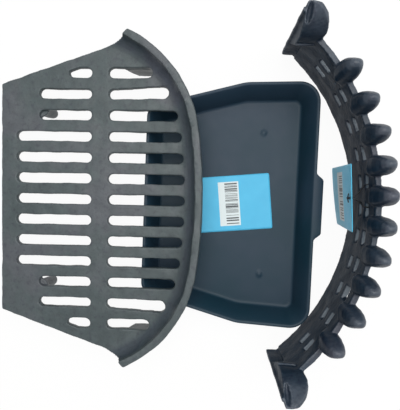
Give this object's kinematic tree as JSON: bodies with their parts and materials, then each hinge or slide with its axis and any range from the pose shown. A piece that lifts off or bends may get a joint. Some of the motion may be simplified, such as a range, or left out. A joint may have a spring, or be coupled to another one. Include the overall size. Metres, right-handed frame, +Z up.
{
  "type": "log grate",
  "caption": "Cast-iron hearth set: slotted bottom grate with a curved lip, a pressed ash pan that slides under it, and a curved fret of upright logs.",
  "frame": {"origin": "middle of the set's footprint, on the hearth", "axes": "+Z up from the hearth; -Y from the grate to the fret, the side that faces the room; +X along the set's width"},
  "size_m": [0.4061, 0.4554, 0.1269],
  "materials": {
    "grate_iron": "as-cast iron, grey-black satin",
    "pan_enamel": "pressed steel, satin black",
    "label_card": "printed card, cyan with a white panel",
    "fret_iron": "cast iron dipped in satin black",
    "tag_card": "printed card, cyan with a white panel",
    "tie_nylon": "black nylon tie"
  },
  "bodies": {
    "grate": {"bottom_grate": "grate_iron"},
    "pan": {"ash_pan": "pan_enamel", "shelf_label": "label_card"},
    "fret": {"log_fret": "fret_iron", "tag_tie": "tie_nylon"},
    "tag": {"hang_tag": "tag_card"}
  },
  "joints": [
    {"name": "pan_slide", "type": "slide", "parent": "grate", "child": "pan", "axis": [0, 1, 0], "range_m": [0, 0.118]},
    {"name": "fret_slide", "type": "slide", "parent": "pan", "child": "fret", "axis": [0, 1, 0], "range_m": [0, 0.01]},
    {"name": "tag_swing", "type": "hinge", "parent": "fret", "child": "tag", "pos_m": [0.0116, -0.18, 0.089], "axis": [0.9962, 0.0872, 0], "range_deg": [-6, 5]}
  ]
}
